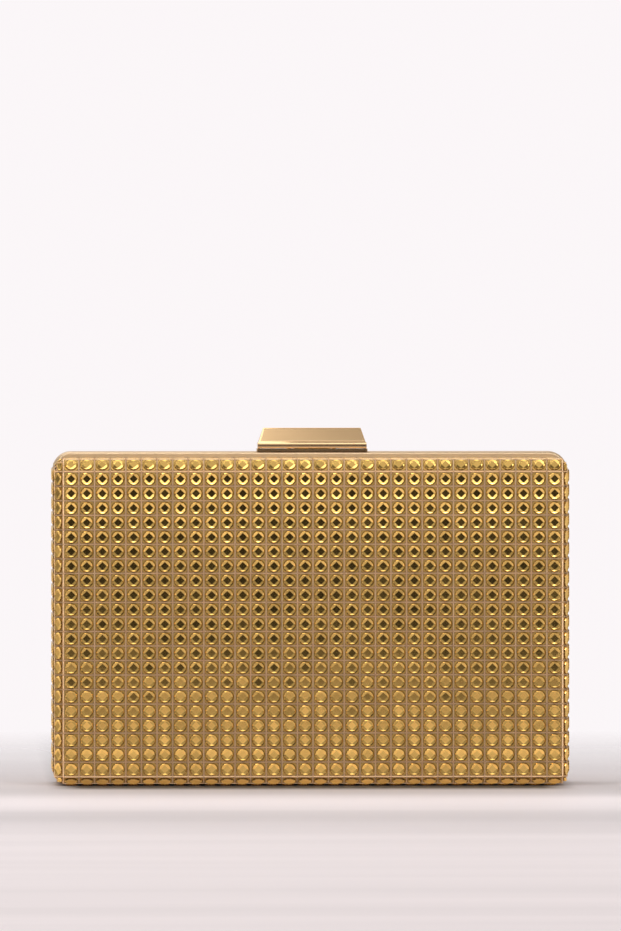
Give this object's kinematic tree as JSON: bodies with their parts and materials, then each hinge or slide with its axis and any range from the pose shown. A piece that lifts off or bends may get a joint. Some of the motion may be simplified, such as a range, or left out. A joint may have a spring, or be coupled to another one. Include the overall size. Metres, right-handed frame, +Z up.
{
  "type": "box clutch bag",
  "caption": "Hard box clutch bag: two gold-framed shells covered in cut stones, hinged along the bottom and held by a lift-up clasp bar on top.",
  "frame": {"origin": "centre of the bag at the surface it stands on, in the parting plane", "axes": "+X along the bag's width, the front faces -Y, +Z up"},
  "size_m": [0.18, 0.046, 0.1242],
  "materials": {
    "frame_gold": "satin champagne gold plating",
    "clasp_gold": "polished and finely brushed gold plating",
    "gold_stone": "cut, metal-backed gold stones on a champagne mesh",
    "shell_plastic": "moulded, matte",
    "lining_cloth": "satin cloth",
    "hinge_gold": "plain gold plating",
    "pin_steel": "bright drawn",
    "spring_steel": "bright spring strip"
  },
  "bodies": {
    "rear_half": {"rear_frame": "frame_gold", "rear_shell": "shell_plastic", "rear_stone_cover": "gold_stone", "rear_lining": "lining_cloth", "slip_pocket": "lining_cloth", "left_hinge_rear_leaf": "hinge_gold", "right_hinge_rear_leaf": "hinge_gold", "left_hinge_pin": "pin_steel", "right_hinge_pin": "pin_steel", "rear_hinge_rivets": "hinge_gold", "clasp_rear_plate": "clasp_gold", "clasp_rear_rivets": "clasp_gold", "clasp_pin": "pin_steel", "clasp_spring": "spring_steel"},
    "front_half": {"front_frame": "frame_gold", "front_shell": "shell_plastic", "front_stone_cover": "gold_stone", "front_lining": "lining_cloth", "left_hinge_front_leaf": "hinge_gold", "right_hinge_front_leaf": "hinge_gold", "front_hinge_rivets": "hinge_gold", "clasp_front_plate": "clasp_gold", "clasp_front_rivets": "clasp_gold", "catch_spring": "spring_steel", "catch_rivets": "hinge_gold"},
    "clasp": {"clasp_bar": "clasp_gold", "clasp_tongue": "pin_steel", "tongue_rivets": "hinge_gold"}
  },
  "joints": [
    {"name": "lid_hinge", "type": "hinge", "parent": "rear_half", "child": "front_half", "pos_m": [0, 0, 0.00145], "axis": [1, 0, 0], "range_deg": [0, 85], "deforming": ["catch_spring"]},
    {"name": "clasp_lift", "type": "hinge", "parent": "rear_half", "child": "clasp", "pos_m": [0.0008, 0.0036, 0.1184], "axis": [-1, 0, 0], "range_deg": [0, 20], "stiffness_Nm_per_rad": 0.1, "springref_deg": -11.46, "deforming": ["clasp_spring"]}
  ]
}
